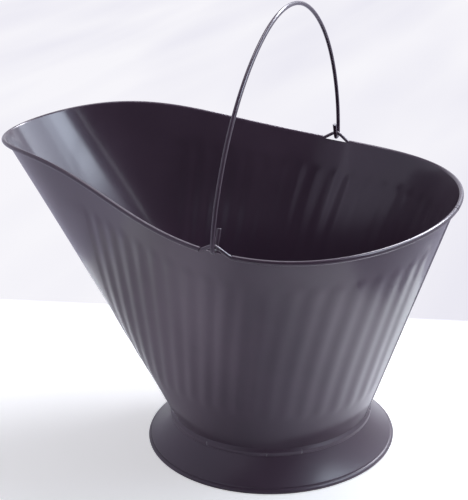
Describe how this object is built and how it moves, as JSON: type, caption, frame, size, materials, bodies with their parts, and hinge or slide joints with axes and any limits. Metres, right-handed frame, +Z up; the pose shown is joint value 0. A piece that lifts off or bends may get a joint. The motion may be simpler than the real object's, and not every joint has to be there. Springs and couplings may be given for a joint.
{
  "type": "coal scuttle",
  "caption": "Black painted steel coal scuttle with a long pouring lip, ribbed sides, a wire-stiffened rolled rim, a flared foot ring and a swinging wire bail.",
  "frame": {"origin": "on the floor, at the middle of the round foot", "axes": "+Z up, -X towards the tip of the pouring lip, +X towards the back, the two ears that hold the bail at +Y and -Y"},
  "size_m": [0.4325, 0.3574, 0.4154],
  "materials": {
    "body": "satin black paint",
    "rim_wire": "satin black paint",
    "bottom_pan": "satin black paint",
    "foot_ring": "satin black paint",
    "bail": "satin black paint, worn where it is gripped"
  },
  "bodies": {
    "scuttle": {"body": "body", "rim_wire": "rim_wire", "bottom_pan": "bottom_pan", "foot_ring": "foot_ring"},
    "bail": {"bail": "bail"}
  },
  "joints": [
    {"name": "bail_hinge", "type": "hinge", "parent": "scuttle", "child": "bail", "pos_m": [0.0153, 0, 0.25092], "axis": [0, 1, 0], "range_deg": [-79, 88]}
  ]
}
